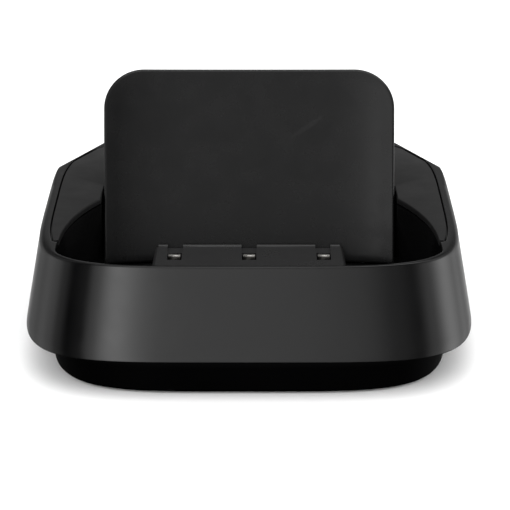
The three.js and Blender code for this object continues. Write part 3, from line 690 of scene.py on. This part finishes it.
STRIP_WIDTH = 2.2
STRIP_THICK = 0.3
STRIP_EDGE = 0.06
ARM_ROOT_Y = -20.8
ARM_Z = 12.8
ARM_LEVEL = 2                       # first level stretch, from the root
CREST_Y = -10.7

# The hump in the arm: how far its turns lie before the crest (foot, bend, slope, brow) and behind it.
HUMP_FOOT, HUMP_BEND, HUMP_SLOPE, HUMP_BROW = 3.4, 1.5, 1.1, 0.7
HUMP_TURN, HUMP_FALL, HUMP_TAIL = 1.1, 1.7, 2.6
HUMP_STEP = 1.5                     # height of its first bend, and of its fall


def strip(name, path, x):
    """A bent metal strip from its side view, (y, z) points along its middle."""
    path = np.array(path)
    along = np.gradient(path, axis=0)
    along /= np.linalg.norm(along, axis=1)[:, None]
    across = np.stack([-along[:, 1], along[:, 0]], 1)
    half, thick, edge = STRIP_WIDTH / 2, STRIP_THICK / 2, STRIP_EDGE
    section = [(-half, -thick + edge), (-half + edge, -thick), (half - edge, -thick), (half, -thick + edge),
               (half, thick - edge), (half - edge, thick), (-half + edge, thick), (-half, thick - edge)]
    rings = []
    for (y, z), (ny, nz) in zip(path, across):
        rings.append([(x + sx, y + ny * st, z + nz * st) for sx, st in section])
    return loft(name, rings, sharp=60)


def contact_arm(side):
    """A sprung arm: level from its root, then over the hump that the handset presses."""
    low, high = box_mm("contact_arm_" + side)
    crown = high.z - STRIP_THICK / 2
    foot_of_hump = (CREST_Y - HUMP_FOOT, ARM_Z)
    slope = (CREST_Y - HUMP_SLOPE, ARM_Z + HUMP_STEP)
    crest = (CREST_Y, crown)
    path = [np.array((ARM_ROOT_Y, ARM_Z)), np.array((ARM_ROOT_Y + ARM_LEVEL, ARM_Z)), np.array(foot_of_hump)]
    path += quadratic(foot_of_hump, (CREST_Y - HUMP_BEND, ARM_Z), slope)
    path += quadratic(slope, (CREST_Y - HUMP_BROW, crown), crest)
    path += quadratic(crest, (CREST_Y + HUMP_TURN, crown), (CREST_Y + HUMP_FALL, crown - HUMP_STEP))
    path.append(np.array((CREST_Y + HUMP_TAIL, ARM_Z)))
    return strip("spring_" + side, path, (low.x + high.x) / 2)


# ---- Foot tray and pads ----

FOOT_SIDE_INSET = 4.6               # both insets are from the body's lower edge
FOOT_END_INSET = 1.8
FOOT_FLARE = 0.6
FOOT_ROUND = 0.8
FOOT_POWER = 4.5
FOOT_WALL = 1.6
FOOT_FLOOR = 1.8
FOOT_EDGE = 0.25
FOOT_INNER_ROUND = 0.3
FOOT_SCREW_BOSS_RADIUS = 4.0
FOOT_SCREW_BOSS_HIGH = 4.4
FOOT_BORE_HIGH = 6
SCREW_HEAD_RADIUS, SCREW_HEAD_HIGH = 2.4, 2.8
PAD_HOLE_RADIUS, PAD_HOLE_HIGH = 4.3, 1.8
PAD_ROUND = 0.35
SMALLEST = 0.002                    # share of an outline that closes a level face


def foot(inward):
    """The foot's outline, moved inward from its lower side."""
    return radii(body_points(FOOT_SIDE_INSET + inward, FOOT_END_INSET + inward, FOOT_POWER))


def foot_tray():
    """The dark tray under the body, with counterbores for its screws and sinks for the pads."""
    low, top = TRAY_LOW.z, TRAY_HIGH.z
    rings = [ring(foot(FOOT_ROUND) * share, low) for share in (SMALLEST, 0.5, 0.9)]
    for c, s in arc(7):
        rings.append(ring(foot(FOOT_ROUND * (1 - s)), low + FOOT_ROUND * (1 - c)))
    slope = FOOT_FLARE / (top - low - FOOT_ROUND)
    for z in np.linspace(low + FOOT_ROUND, top - FOOT_EDGE, 5)[1:]:
        rings.append(ring(foot(-slope * (z - low - FOOT_ROUND)), z))
    rings.append(ring(foot(FOOT_EDGE - FOOT_FLARE), top))
    rings.append(ring(foot(FOOT_WALL - FOOT_EDGE - FOOT_FLARE), top))
    rings.append(ring(foot(FOOT_WALL - FOOT_FLARE), top - FOOT_EDGE))
    floor_z = low + FOOT_FLOOR
    rings.append(ring(foot(FOOT_WALL), floor_z + FOOT_INNER_ROUND))
    rings += [ring(foot(FOOT_WALL + FOOT_INNER_ROUND) * share, floor_z) for share in (1, 0.5, SMALLEST)]
    tray = loft("tray", rings)
    pads = places_of("rubber_pad_", CORNERS)
    boolean(tray, rods(FOOT_SCREWS, FOOT_SCREW_BOSS_RADIUS, floor_z - JOIN, FOOT_SCREW_BOSS_HIGH), "UNION")
    boolean(tray, rods(FOOT_SCREWS, BORE_RADIUS, 0, FOOT_BORE_HIGH), "DIFFERENCE")
    boolean(tray, rods(FOOT_SCREWS, SCREW_HEAD_RADIUS, 0, SCREW_HEAD_HIGH), "DIFFERENCE")
    boolean(tray, rods(pads, PAD_HOLE_RADIUS, 0, PAD_HOLE_HIGH), "DIFFERENCE")
    shade(tray)
    return tray


def rubber_pad(corner):
    """A round pad with a rounded lower edge."""
    low, high = box_mm("rubber_pad_" + corner)
    radius = (high.x - low.x) / 2
    profile = [(0, low.z), (radius * 0.5, low.z)]
    profile += [(radius - PAD_ROUND * (1 - s), low.z + PAD_ROUND * (1 - c)) for c, s in arc(5)]
    profile += [(radius, high.z), (0, high.z)]
    centre = (low + high) / 2
    return moved(lathe("pad_" + corner, profile, 72), (centre.x, centre.y, 0))


# ---- Power socket ----

SOCKET_ROUND = 0.35
JACK_RADIUS = 3.15
JACK_DEPTH = 10
MOUTH_LEAD = 0.3                    # from the start of the flared mouth to the socket's face
MOUTH_FLARE = 0.35
PIN_TIP = 0.8                       # length of the pin's rounded tip, in radii


def power_socket():
    """The barrel socket: a box with rounded edges and a round bore with a flared mouth."""
    housing = block_box("socket", tuple(SOCKET_LOW), tuple(SOCKET_HIGH))
    rounded(housing, lambda edges: edges[:], SOCKET_ROUND, 3)
    axis = middle_of("power_socket_pin")
    mouth, wide, end = JACK_DEPTH - MOUTH_LEAD, JACK_RADIUS + MOUTH_FLARE, JACK_DEPTH + OVERCUT
    profile = [(0, 0), (JACK_RADIUS, 0), (JACK_RADIUS, mouth), (wide, mouth + MOUTH_FLARE),
               (wide, end), (0, end)]
    bore = moved(lathe("tool", profile, 72), (axis.x, SOCKET_HIGH.y - JACK_DEPTH, axis.z), UPRIGHT_TO_BACK)
    boolean(housing, bore, "DIFFERENCE")
    shade(housing)
    return housing


def socket_pin():
    """The pin in the socket's bore, with a rounded tip."""
    low, high = box_mm("power_socket_pin")
    radius = (high.x - low.x) / 2
    length = high.y - low.y
    tip = [(radius * c, length - radius * PIN_TIP * (1 - s)) for c, s in arc(6)]
    axis = (low + high) / 2
    pin = lathe("socket_pin", [(0, 0), (radius, 0)] + tip, 48)
    return moved(pin, (axis.x, low.y, axis.z), UPRIGHT_TO_BACK)


# ---- Materials ----

NOISE_RANGE = (0.3, 0.7)            # where most of a noise texture's values lie
PLASTIC_SPREAD = 0.04               # of the roughness, each way
METAL_SPREAD = 0.08
PLASTIC_IOR = 1.49
EDGE_RANGE = (0.52, 0.6)            # pointiness from a flat face to a worn edge
RUB_GAIN, RUB_LIFT = 2.4, 0.01      # how much lighter a worn edge is
CREST_BRIGHT, CREST_SHADED = 0.06, 0.16       # how far below its crest a contact is rubbed bright, and how far below it the painted shade is full


class Nodes:
    """Short calls for a material's node tree."""

    def __init__(self, name):
        self.material = bpy.data.materials.new(name)
        self.material.use_nodes = True
        self.tree = self.material.node_tree
        self.shader = self.tree.nodes["Principled BSDF"]
        self.place = self.add("ShaderNodeTexCoord").outputs["Object"]

    def add(self, kind, **values):
        node = self.tree.nodes.new(kind)
        for key, value in values.items():
            setattr(node, key, value)
        return node

    def link(self, start, end):
        self.tree.links.new(start, end)

    def noise(self, scale, detail=3.0, rough=0.55):
        node = self.add("ShaderNodeTexNoise")
        node.inputs["Scale"].default_value = scale
        node.inputs["Detail"].default_value = detail
        node.inputs["Roughness"].default_value = rough
        self.link(self.place, node.inputs["Vector"])
        return node.outputs["Fac"]

    def map(self, value, low, high, from_low=0.0, from_high=1.0):
        node = self.add("ShaderNodeMapRange")
        node.inputs["From Min"].default_value = from_low
        node.inputs["From Max"].default_value = from_high
        node.inputs["To Min"].default_value = low
        node.inputs["To Max"].default_value = high
        self.link(value, node.inputs["Value"])
        return node.outputs["Result"]

    def mix(self, fac, a, b):
        node = self.add("ShaderNodeMix", data_type="RGBA")
        self.link(fac, node.inputs["Factor"])
        for socket, colour in ((node.inputs[6], a), (node.inputs[7], b)):
            if isinstance(colour, tuple):
                socket.default_value = (*colour, 1)
            else:
                self.link(colour, socket)
        return node.outputs[2]

    def bump(self, height, strength, distance):
        node = self.add("ShaderNodeBump")
        node.inputs["Strength"].default_value = strength
        node.inputs["Distance"].default_value = distance
        self.link(height, node.inputs["Height"])
        self.link(node.outputs["Normal"], self.shader.inputs["Normal"])

    def edge(self, low, high):
        """1 on convex edges, 0 elsewhere."""
        return self.map(self.add("ShaderNodeNewGeometry").outputs["Pointiness"], 0, 1, low, high)


def plastic(name, dark, light, rough, grain, depth, wear=0.25, specular=0.5):
    """Moulded plastic: faint colour drift, spark-eroded grain, uneven gloss, rubbed edges."""
    n = Nodes(name)
    drift = n.noise(60, 2)
    colour = n.mix(n.map(drift, 0, 1, *NOISE_RANGE), dark, light)
    worn = tuple(min(1, c * RUB_GAIN + RUB_LIFT) for c in light)
    rubbed = n.mix(n.map(n.edge(*EDGE_RANGE), 0, wear), colour, worn)
    n.link(rubbed, n.shader.inputs["Base Color"])
    fine = n.noise(grain, 4, 0.6)
    gloss = n.map(n.noise(220, 3), rough - PLASTIC_SPREAD, rough + PLASTIC_SPREAD, *NOISE_RANGE)
    n.link(gloss, n.shader.inputs["Roughness"])
    n.bump(fine, 0.35, depth)
    n.shader.inputs["IOR"].default_value = PLASTIC_IOR
    n.shader.inputs["Specular IOR Level"].default_value = specular
    return n.material


def metal(name, dark, light, rough, grain=900):
    """Plated metal: fine scratches in the gloss and a faint tarnish."""
    n = Nodes(name)
    colour = n.mix(n.map(n.noise(grain, 4), 0, 1, 0.35, 0.65), dark, light)
    n.link(colour, n.shader.inputs["Base Color"])
    n.shader.inputs["Metallic"].default_value = 1.0
    gloss = n.map(n.noise(grain * 2.5, 3), rough - METAL_SPREAD, rough + METAL_SPREAD, *NOISE_RANGE)
    n.link(gloss, n.shader.inputs["Roughness"])
    n.bump(n.noise(grain * 4, 2), 0.2, 0.00002)
    return n.material


def contact_material(crest):
    """Nickel rubbed bright along the crest where the handset's pads slide, and painted near black below it as
    painted shade.
    """
    n = Nodes("rubbed_nickel_painted_shade")
    split = n.add("ShaderNodeSeparateXYZ")
    n.link(n.place, split.inputs[0])
    # Painted shade: below the rubbed crest the strip is painted near black, standing in for the shade it lies
    # in; only the crest keeps the bright nickel.
    worn = n.map(split.outputs["Z"], 0, 1, (crest - CREST_SHADED) * MM, (crest - CREST_BRIGHT) * MM)
    painted_shade = n.mix(n.noise(1500, 4), (0.022, 0.021, 0.019), (0.045, 0.043, 0.04))
    bright = n.mix(n.noise(2600, 3), (0.8, 0.78, 0.73), (0.92, 0.9, 0.86))
    n.link(n.mix(worn, painted_shade, bright), n.shader.inputs["Base Color"])
    n.shader.inputs["Metallic"].default_value = 1.0
    n.link(n.map(n.noise(2200, 3), 0.2, 0.36, *NOISE_RANGE), n.shader.inputs["Roughness"])
    n.bump(n.noise(5200, 2), 0.2, 0.00001)
    return n.material


def board_material():
    """Solder mask: a fine grid of a slightly lighter green over two greens."""
    n = Nodes("solder_mask")
    grid = n.add("ShaderNodeTexBrick")
    n.link(n.place, grid.inputs["Vector"])
    grid.inputs["Scale"].default_value = 190
    grid.inputs["Color1"].default_value = (0.012, 0.11, 0.045, 1)
    grid.inputs["Color2"].default_value = (0.016, 0.135, 0.058, 1)
    grid.inputs["Mortar"].default_value = (0.03, 0.2, 0.09, 1)
    grid.inputs["Mortar Size"].default_value = 0.06
    n.link(grid.outputs["Color"], n.shader.inputs["Base Color"])
    n.link(n.map(n.noise(900, 3), 0.3, 0.45), n.shader.inputs["Roughness"])
    n.bump(grid.outputs["Fac"], 0.3, 0.00004)
    return n.material


# Each plastic's name, darker and lighter colour, roughness, grain scale, grain depth in metres and wear.
MATERIALS = {
    "satin": plastic("satin_black", (0.0018, 0.0018, 0.0019), (0.0026, 0.0026, 0.0027), 0.15, 5200, 0.000003),
    "matte": plastic("matte_black", (0.0026, 0.0026, 0.0027), (0.0036, 0.0036, 0.0037), 0.26, 3800, 0.00001),
    # Painted light: the block's black is lighter than the other blacks, standing in for the light its upward
    # faces catch.
    "block": plastic("block_black_painted_light", (0.008, 0.008, 0.0081), (0.0105, 0.0105, 0.0106), 0.3, 3800, 0.00001),
    "inlay": plastic("inlay_black", (0.0036, 0.0036, 0.0037), (0.0048, 0.0048, 0.0049), 0.4, 3800, 0.00001),
    # Painted shade: the foot's black is made darker and almost without gloss, standing in for the shade under
    # the body.
    "foot": plastic("foot_black", (0.0003, 0.0003, 0.0004), (0.0006, 0.0006, 0.0007), 0.5, 3200, 0.00002,
                    specular=0.02),
    "rubber": plastic("rubber_grey", (0.018, 0.018, 0.018), (0.03, 0.03, 0.03), 0.85, 2400, 0.00005, 0.1),
    "socket": plastic("socket_nylon", (0.008, 0.008, 0.008), (0.013, 0.013, 0.013), 0.45, 3000, 0.00002),
    "epoxy": plastic("epoxy_black", (0.012, 0.012, 0.013), (0.02, 0.02, 0.021), 0.5, 2600, 0.00003),
    "contact": contact_material(box_mm("contact_arm_middle")[1].z),
    "spring": metal("nickel_plate", (0.74, 0.72, 0.66), (0.88, 0.86, 0.8), 0.22),
    "steel": metal("zinc_steel", (0.42, 0.43, 0.45), (0.6, 0.61, 0.62), 0.36, 500),
    "board": board_material(),
}
NODE_BEVEL = 0.1


def finish_piece(piece, finish, body_name, *nodes):
    """Gives a piece its material, its body and the CAD nodes it stands for."""
    piece.data.materials.clear()
    piece.data.materials.append(MATERIALS[finish])
    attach(piece, body_name)
    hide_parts(*nodes)


def finish_node(node, finish):
    """Gives a CAD node that stays its material and a small bevel."""
    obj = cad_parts[node]
    for entry in obj.material_slots:
        entry.material = MATERIALS[finish]
    soft_edges(obj, NODE_BEVEL)


# ---- Studio ----

TARGET = Vector((1.07, 0.0, 20.0)) * MM
VIEW_ELEVATION = math.radians(20.5)
VIEW_DISTANCE = 0.385
VIEW_LENS = 147.0                   # on a 36 mm sensor
VIEW_TILT = math.radians(1.18)      # a little below the target

FLOOR_RADIUS = 1.6

SOFTBOX_PLACE = (0.1, -0.1, 0.9)
SOFTBOX_AIM = (0, 0, 0.02)
SOFTBOX_SIZE = 0.9
SOFTBOX_POWER = 3.0
SOFTBOX_GLOSS = 0.18                # how much of it shows in gloss

# The room in gloss, by bearing from the front in degrees, positive to the left: a card at the front left,
# dark gaps on both sides of the front, and bright side walls. 1 is the card.
GLOSS_ROOM = (
    (-180, 0.19), (-150, 0.12), (-128, 0.26), (-92, 0.82), (-62, 0.27), (-42, 0.04), (-24, 0.1), (-6, 0.28),
    (4, 0.4), (17, 1.1), (30, 0.33), (40, 0.03), (56, 0.0), (72, 0.12), (88, 0.27), (102, 0.28), (132, 0.12),
    (150, 0.08), (180, 0.19),
)
GLOSS_PEAK = 3.0
GLOSS_BELOW = 0.03                  # how bright the gloss room is well below the horizon
GLOSS_ABOVE = 0.37                  # and above it
BELOW_STEP = (-0.52, -0.4)          # heights, as sines, between which it rises to full
ABOVE_STEP = (0.02, 0.24)           # and between which it falls again
ROOM_LEVEL = 1.45


def camera():
    """The photo's view: from the front, above the table."""
    data = bpy.data.cameras.new("camera")
    data.lens = VIEW_LENS
    data.sensor_width = 36
    data.clip_start = 0.01
    data.clip_end = 20
    obj = bpy.data.objects.new("camera", data)
    out = Vector((0, -math.cos(VIEW_ELEVATION), math.sin(VIEW_ELEVATION)))
    obj.location = TARGET + out * VIEW_DISTANCE
    obj.rotation_euler = (math.pi / 2 - VIEW_ELEVATION - VIEW_TILT, 0, 0)
    bpy.context.scene.collection.objects.link(obj)
    bpy.context.scene.camera = obj


def floor():
    """A white table that gloss doesn't see."""
    work = bmesh.new()
    bmesh.ops.create_circle(work, cap_ends=True, segments=96, radius=FLOOR_RADIUS)
    obj = linked("floor", work)
    n = Nodes("paper")
    n.link(n.mix(n.noise(3), (0.9, 0.9, 0.9), (0.93, 0.93, 0.93)), n.shader.inputs["Base Color"])
    n.shader.inputs["Roughness"].default_value = 0.9
    n.shader.inputs["Specular IOR Level"].default_value = 0.1
    obj.data.materials.append(n.material)
    obj.visible_glossy = False


def softbox():
    """One large lamp overhead, a little to the front right."""
    data = bpy.data.lights.new("softbox_top", "AREA")
    data.shape = "RECTANGLE"
    data.size = data.size_y = SOFTBOX_SIZE
    data.energy = SOFTBOX_POWER
    data.specular_factor = SOFTBOX_GLOSS
    obj = bpy.data.objects.new("softbox_top", data)
    obj.location = SOFTBOX_PLACE
    obj.rotation_euler = (Vector(SOFTBOX_AIM) - Vector(SOFTBOX_PLACE)).to_track_quat("-Z", "Y").to_euler()
    bpy.context.scene.collection.objects.link(obj)


def studio():
    """A white room for the floor. In gloss it has a bright card at the front left and dark gaps beside it."""
    world = bpy.data.worlds.new("studio")
    bpy.context.scene.world = world
    world.use_nodes = True
    tree = world.node_tree
    background = tree.nodes["Background"]
    background.inputs["Color"].default_value = (1, 1, 1, 1)
    place = tree.nodes.new("ShaderNodeTexCoord").outputs["Generated"]
    split = tree.nodes.new("ShaderNodeSeparateXYZ")
    tree.links.new(place, split.inputs[0])

    def maths(operation, a, b=None):
        node = tree.nodes.new("ShaderNodeMath")
        node.operation = operation
        for socket, value in zip(node.inputs, (a, b)):
            if value is None:
                continue
            if isinstance(value, (int, float)):
                socket.default_value = value
            else:
                tree.links.new(value, socket)
        return node.outputs[0]

    # Bearing of the direction looked in: 0 at the front, positive to the left, in degrees.
    bearing = maths("ARCTAN2", maths("MULTIPLY", split.outputs["X"], -1),
                    maths("MULTIPLY", split.outputs["Y"], -1))
    bearing = maths("MULTIPLY", bearing, 180 / math.pi)
    ramp = tree.nodes.new("ShaderNodeValToRGB")
    ramp.color_ramp.interpolation = "EASE"
    stops = ramp.color_ramp.elements
    stops.remove(stops[1])
    stops[0].color = (GLOSS_ROOM[0][1],) * 3 + (1,)
    for degrees, level in GLOSS_ROOM[1:]:
        stops.new((degrees + 180) / 360).color = (level, level, level, 1)
    tree.links.new(maths("DIVIDE", maths("ADD", bearing, 180), 360), ramp.inputs[0])

    def across(step, from_value, to_value):
        """Eases between two values as the direction looked in rises."""
        node = tree.nodes.new("ShaderNodeMapRange")
        node.interpolation_type = "SMOOTHSTEP"
        node.inputs["From Min"].default_value, node.inputs["From Max"].default_value = step
        node.inputs["To Min"].default_value = from_value
        node.inputs["To Max"].default_value = to_value
        tree.links.new(split.outputs["Z"], node.inputs["Value"])
        return node.outputs["Result"]

    height = maths("MULTIPLY", across(BELOW_STEP, GLOSS_BELOW, 1.0), across(ABOVE_STEP, 1.0, GLOSS_ABOVE))
    gloss = maths("MULTIPLY", maths("MULTIPLY", ramp.outputs[0], GLOSS_PEAK), height)
    paths = tree.nodes.new("ShaderNodeLightPath")
    is_gloss = paths.outputs["Is Glossy Ray"]
    plain = maths("MULTIPLY", maths("SUBTRACT", 1, is_gloss), ROOM_LEVEL)
    tree.links.new(maths("ADD", maths("MULTIPLY", gloss, is_gloss), plain), background.inputs["Strength"])


# ---- Put it together ----

camera()
floor()
studio()
softbox()

finish_piece(body_shell(), "satin", "base", "base_shell")
finish_piece(deck_inlay(), "inlay", "base", "deck_inlay")
front, rear = back_rest()
finish_piece(front, "matte", "base", "rest_front_shell")
finish_piece(rear, "matte", "base", "rest_rear_shell")
finish_piece(contact_block(), "block", "base", "contact_block")
finish_piece(foot_tray(), "foot", "base", "foot_tray")
finish_piece(power_socket(), "socket", "base", "power_socket")
finish_piece(socket_pin(), "spring", "base", "power_socket_pin")
for side in SIDES:
    finish_piece(contact_arm(side), "contact", "contact_" + side, "contact_arm_" + side)
    finish_node("contact_foot_" + side, "spring")
for corner in CORNERS:
    finish_piece(rubber_pad(corner), "rubber", "base", "rubber_pad_" + corner)
    finish_node("foot_screw_" + corner, "steel")
for side in ENDS:
    finish_node("board_screw_" + side, "steel")
    finish_node("rest_screw_" + side, "steel")
    finish_node("charge_resistor_" + side, "epoxy")
for node in ("smoothing_capacitor", "charge_chip", "power_diode"):
    finish_node(node, "epoxy")
finish_node("ballast_plate", "steel")
finish_node("circuit_board", "board")

bpy.context.scene.view_settings.view_transform = "Standard"
